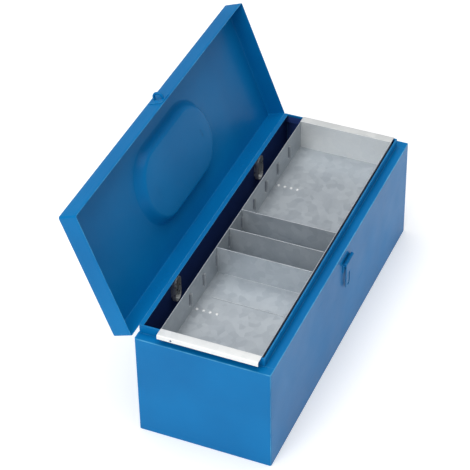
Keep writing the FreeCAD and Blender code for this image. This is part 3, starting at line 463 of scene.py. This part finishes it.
def galvanised(name, light, dark, roughness_floor):
    """Hot-dip zinc on rolled sheet: crystals of a few millimetres, rolling lines and dull patches."""
    sheet = Finish(name, Metallic=0.5)
    drift = sheet.add("ShaderNodeTexNoise", {}, {"Vector": sheet.place, "Scale": 60.0}, 1)
    drift = sheet.add("ShaderNodeVectorMath", {"operation": "SCALE"}, {0: drift, "Scale": 4 * MM})
    bent = sheet.add("ShaderNodeVectorMath", {"operation": "ADD"}, {0: sheet.place, 1: drift})
    crystals = sheet.add("ShaderNodeTexVoronoi", {}, {"Vector": bent, "Scale": SPANGLE}, "Color")
    crystal = sheet.add("ShaderNodeSeparateColor", {}, {0: crystals})
    rolling = sheet.noise(240.0, 3.0, (0.03, 1, 1))
    patches = sheet.band(sheet.noise(11.0, 3.0), 0.3, 0.7)
    shade = crystal * 0.42 + patches * 0.38 + rolling * 0.20
    tone = sheet.mix(shade, dark, light)
    # Near-white eased edges: partly rub marks, partly a painted highlight.
    tone = sheet.mix(sheet.edges() * 0.8, tone, (0.93, 0.94, 0.94))
    roughness = crystal * 0.10 + rolling * 0.14 + roughness_floor
    height = crystal * 0.4 + rolling
    return sheet.feed_shader(Base_Color=tone, Roughness=roughness, Normal=sheet.bump(height, 0.03 * MM, 0.6))


tray_zinc = galvanised("tray_galvanised", GALVANISED_LIGHT, GALVANISED_DARK, 0.30)
# The rolled end rims take a paler copy of the galvanised finish, a painted highlight for the light they
# reflect.
rim_zinc_painted_highlight = galvanised("rim_galvanised_painted_highlight", (0.86, 0.87, 0.86), (0.74, 0.76, 0.76), 0.34)
eased("tray_trough_folded", "tray_trough", tray_zinc, "tray", 0.16 * MM)
for side in ("left", "right"):
    end = f"tray_end_{side}"
    eased(f"{end}_rolled", end, rim_zinc_painted_highlight, "tray", 0.18 * MM)

# ---------------------------------------------------------------- dividers
# Three loose sheet dividers drop between the tray's lugs, each standing on a bent foot.
for place in ("left", "middle", "right"):
    node = f"divider_{place}"
    eased(f"{node}_sheet", node, tray_zinc, f"{place}_divider", 0.14 * MM)

# ---------------------------------------------------------------- dimples and spot welds
# Rows of small round dimples are punched up in the tray's floor. The end panels and the tray's end
# walls are held by rows of spot welds, whose shallow nuggets show on the sheet.
def dimple_tree():
    """Geometry nodes: a row of low round domes from a start along a step, facing a normal."""
    tree = bpy.data.node_groups.new("dimple_row", "GeometryNodeTree")
    for name, kind in (
        ("Count", "NodeSocketInt"),
        ("Start", "NodeSocketVector"),
        ("Step", "NodeSocketVector"),
        ("Facing", "NodeSocketVector"),
        ("Radius", "NodeSocketFloat"),
        ("Height", "NodeSocketFloat"),
        ("Material", "NodeSocketMaterial"),
    ):
        tree.interface.new_socket(name=name, in_out="INPUT", socket_type=kind)
    tree.interface.new_socket(name="Geometry", in_out="OUTPUT", socket_type="NodeSocketGeometry")
    make = tree.nodes.new
    join = tree.links.new
    inputs = make("NodeGroupInput").outputs
    row = make("GeometryNodeMeshLine")
    join(inputs["Count"], row.inputs["Count"])
    join(inputs["Start"], row.inputs["Start Location"])
    join(inputs["Step"], row.inputs["Offset"])
    dome = make("GeometryNodeMeshUVSphere")
    dome.inputs["Segments"].default_value = 20
    dome.inputs["Rings"].default_value = 10
    join(inputs["Radius"], dome.inputs["Radius"])
    share = make("ShaderNodeMath")
    share.operation = "DIVIDE"
    join(inputs["Height"], share.inputs[0])
    join(inputs["Radius"], share.inputs[1])
    flat = make("ShaderNodeCombineXYZ")
    flat.inputs[0].default_value = 1
    flat.inputs[1].default_value = 1
    join(share.outputs[0], flat.inputs[2])
    face = make("FunctionNodeAlignRotationToVector")
    join(inputs["Facing"], face.inputs["Vector"])
    put = make("GeometryNodeInstanceOnPoints")
    join(row.outputs["Mesh"], put.inputs["Points"])
    join(dome.outputs["Mesh"], put.inputs["Instance"])
    join(face.outputs["Rotation"], put.inputs["Rotation"])
    join(flat.outputs["Vector"], put.inputs["Scale"])
    real = make("GeometryNodeRealizeInstances")
    join(put.outputs["Instances"], real.inputs["Geometry"])
    smoothed = make("GeometryNodeSetShadeSmooth")
    join(real.outputs["Geometry"], smoothed.inputs["Geometry"])
    coated = make("GeometryNodeSetMaterial")
    join(smoothed.outputs["Geometry"], coated.inputs["Geometry"])
    join(inputs["Material"], coated.inputs["Material"])
    join(coated.outputs["Geometry"], make("NodeGroupOutput").inputs["Geometry"])
    return tree


dimples = dimple_tree()


def dimple_row(name, body, material, count, start, step, facing, radius, height):
    mesh = bpy.data.meshes.new(name)
    piece = show(name, mesh, material, body)
    nodes = piece.modifiers.new("row", "NODES")
    nodes.node_group = dimples
    values = {
        "Count": count,
        "Start": start,
        "Step": step,
        "Facing": facing,
        "Radius": radius,
        "Height": height,
        "Material": material,
    }
    for item in dimples.interface.items_tree:
        if item.in_out == "INPUT":
            nodes[item.identifier] = values[item.name]
    finished(piece, with_edges=False)


TRAY_SHEET = 0.8 * MM
DIMPLE_COUNT = 4
DIMPLE_FROM_MIDDLE = 153.5 * MM
DIMPLE_FROM_WALL = 5.8 * MM
DIMPLE_STEP = 10.2 * MM
DIMPLE_RADIUS = 2.6 * MM
DIMPLE_HEIGHT = 1.3 * MM
TRAY_WELD_COUNT = 3
TRAY_WELD_FROM_MIDDLE = 252 * MM
TRAY_WELD_FROM_FLOOR = 9 * MM
TRAY_WELD_STEP = 14 * MM
TRAY_WELD_RADIUS = 2.4 * MM
TRAY_WELD_HEIGHT = 0.25 * MM
BOX_WELD_COUNT = 5
BOX_WELD_X = 271 * MM
BOX_WELD_LOWEST = 18 * MM
BOX_WELD_STEP = 33 * MM
BOX_WELD_RADIUS = 2.6 * MM
BOX_WELD_HEIGHT = 0.16 * MM

tray_low, tray_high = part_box("tray_trough")
tray_floor = tray_low.z + TRAY_SHEET
tray_middle = (tray_low.x + tray_high.x) / 2
for side, word in ((-1, "left"), (1, "right")):
    start = (tray_middle + side * DIMPLE_FROM_MIDDLE, tray_high.y - DIMPLE_FROM_WALL, tray_floor)
    # The floor dimples take the paler rim finish, so they read as painted glints.
    dimple_row(
        f"floor_dimples_{word}", "tray", rim_zinc_painted_highlight,
        DIMPLE_COUNT, start, (0, -DIMPLE_STEP, 0), (0, 0, 1), DIMPLE_RADIUS, DIMPLE_HEIGHT,
    )
    for place, wall, facing in (("front", tray_low.y, -1), ("back", tray_high.y, 1)):
        start = (tray_middle + side * TRAY_WELD_FROM_MIDDLE, wall, tray_low.z + TRAY_WELD_FROM_FLOOR)
        dimple_row(
            f"tray_welds_{word}_{place}", "tray", tray_zinc,
            TRAY_WELD_COUNT, start, (0, 0, TRAY_WELD_STEP), (0, facing, 0), TRAY_WELD_RADIUS, TRAY_WELD_HEIGHT,
        )
    for place, wall, facing in (("front", -HALF_WIDTH, -1), ("back", HALF_WIDTH, 1)):
        start = (side * BOX_WELD_X, wall, BOX_WELD_LOWEST)
        dimple_row(
            f"box_welds_{word}_{place}", "toolbox_body", box_paint,
            BOX_WELD_COUNT, start, (0, 0, BOX_WELD_STEP), (0, facing, 0), BOX_WELD_RADIUS, BOX_WELD_HEIGHT,
        )

# ---------------------------------------------------------------- floor, light and camera
# The box stands on a plain white sweep under large soft lights, seen from above its left front.
floor_mesh = bpy.data.meshes.new("floor")
reach = 6.0
corners = [(-reach, -reach), (reach, -reach), (reach, reach), (-reach, reach)]
floor_mesh.from_pydata([(x, y, -0.3 * MM) for x, y in corners], [], [(0, 1, 2, 3)])
floor = bpy.data.objects.new("floor", floor_mesh)
bpy.context.scene.collection.objects.link(floor)
paper = Finish("floor_paper", Roughness=0.9, Specular_IOR_Level=0.1, Emission_Strength=0.30)
paper.shader.inputs["Emission Color"].default_value = (1, 1, 1, 1)
grain = paper.mix(paper.noise(3.0, 2.0), (0.93, 0.93, 0.93), (0.96, 0.96, 0.96))
floor_mesh.materials.append(paper.feed_shader(Base_Color=grain))

world = bpy.data.worlds.new("studio")
world.use_nodes = True
world.node_tree.nodes["Background"].inputs["Color"].default_value = (1.0, 1.0, 1.0, 1)
world.node_tree.nodes["Background"].inputs["Strength"].default_value = 0.42
bpy.context.scene.world = world


def softbox(name, at, towards, wide, tall, power):
    light = bpy.data.lights.new(name, "AREA")
    light.shape = "RECTANGLE"
    light.size = wide
    light.size_y = tall
    light.energy = power
    lamp = bpy.data.objects.new(name, light)
    lamp.location = at
    lamp.rotation_euler = (Vector(towards) - Vector(at)).to_track_quat("-Z", "Y").to_euler()
    bpy.context.scene.collection.objects.link(lamp)


softbox("key_light", (-2.2, 0.3, 1.9), (0, 0, 0.12), 1.4, 1.4, 30)
softbox("top_light", (0.2, 0.3, 2.6), (0, 0, 0.1), 2.2, 2.2, 34)

view = Vector((0.711598, 0.311967, -0.629527))
roll = math.radians(-1.149)
level_right = view.cross(Vector((0, 0, 1))).normalized()
level_up = level_right.cross(view)
right = math.cos(roll) * level_right + math.sin(roll) * level_up
up = math.cos(roll) * level_up - math.sin(roll) * level_right
camera_data = bpy.data.cameras.new("camera")
camera_data.sensor_width = 36
camera_data.lens = 147.2
camera = bpy.data.objects.new("camera", camera_data)
turn = Matrix((right, up, -view)).transposed().to_4x4()
camera.matrix_world = Matrix.Translation((-1.998476, -0.806043, 1.916665)) @ turn
bpy.context.scene.collection.objects.link(camera)
bpy.context.scene.camera = camera
bpy.context.scene.view_settings.view_transform = "Standard"
